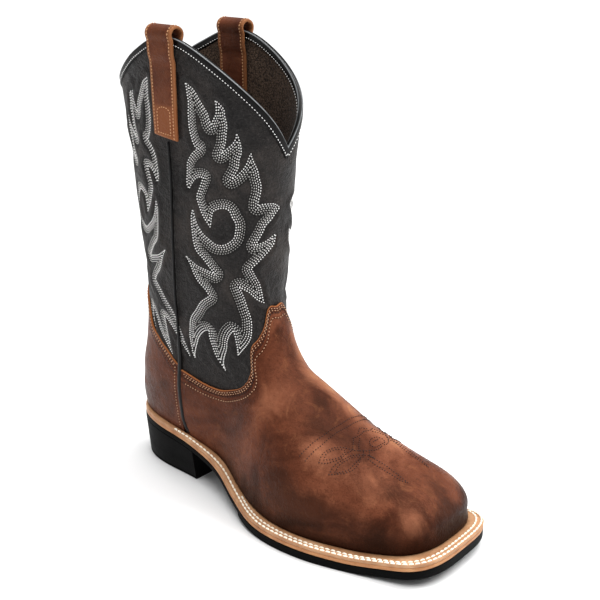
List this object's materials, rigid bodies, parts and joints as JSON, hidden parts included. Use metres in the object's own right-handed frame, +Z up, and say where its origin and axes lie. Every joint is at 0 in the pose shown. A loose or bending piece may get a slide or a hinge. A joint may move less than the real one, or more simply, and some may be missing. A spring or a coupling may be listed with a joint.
{
  "type": "western work boot",
  "caption": "Western pull-on work boot for the right foot: leather shaft with dipped collar, overlaid vamp and counter, loop pull straps, stitched welt and low block heel.",
  "frame": {"origin": "on the floor, under the middle of the heel, on one of the heel's flat lands", "axes": "+X to the toe, +Y to the inner side of the foot, +Z up along the shaft; the floor is z = 0"},
  "size_m": [0.3252, 0.1182, 0.364],
  "materials": {
    "shaft_leather": "charcoal tumbled leather, semi-matte, with pale scroll stitching",
    "oiled_leather": "oiled brown leather with a pulled-up, waxy surface",
    "trim_leather": "smooth black binding leather, slightly glossy",
    "strap_leather": "oiled brown leather, doubled, with stitched edges",
    "footbed_fabric": "brown mesh lining over a cushioned footbed",
    "tan_leather": "natural tan welt and midsole leather, edge waxed",
    "black_rubber": "matte black moulded rubber with shallow cross grooves"
  },
  "bodies": {
    "root": {"upper": "shaft_leather", "vamp": "oiled_leather", "heel_counter": "oiled_leather", "collar_binding": "trim_leather", "side_piping_right": "trim_leather", "side_piping_left": "trim_leather", "pull_strap_right": "strap_leather", "pull_strap_left": "strap_leather", "insole": "footbed_fabric", "welt": "tan_leather", "midsole": "tan_leather", "outsole": "black_rubber", "heel": "black_rubber"}
  },
  "joints": []
}
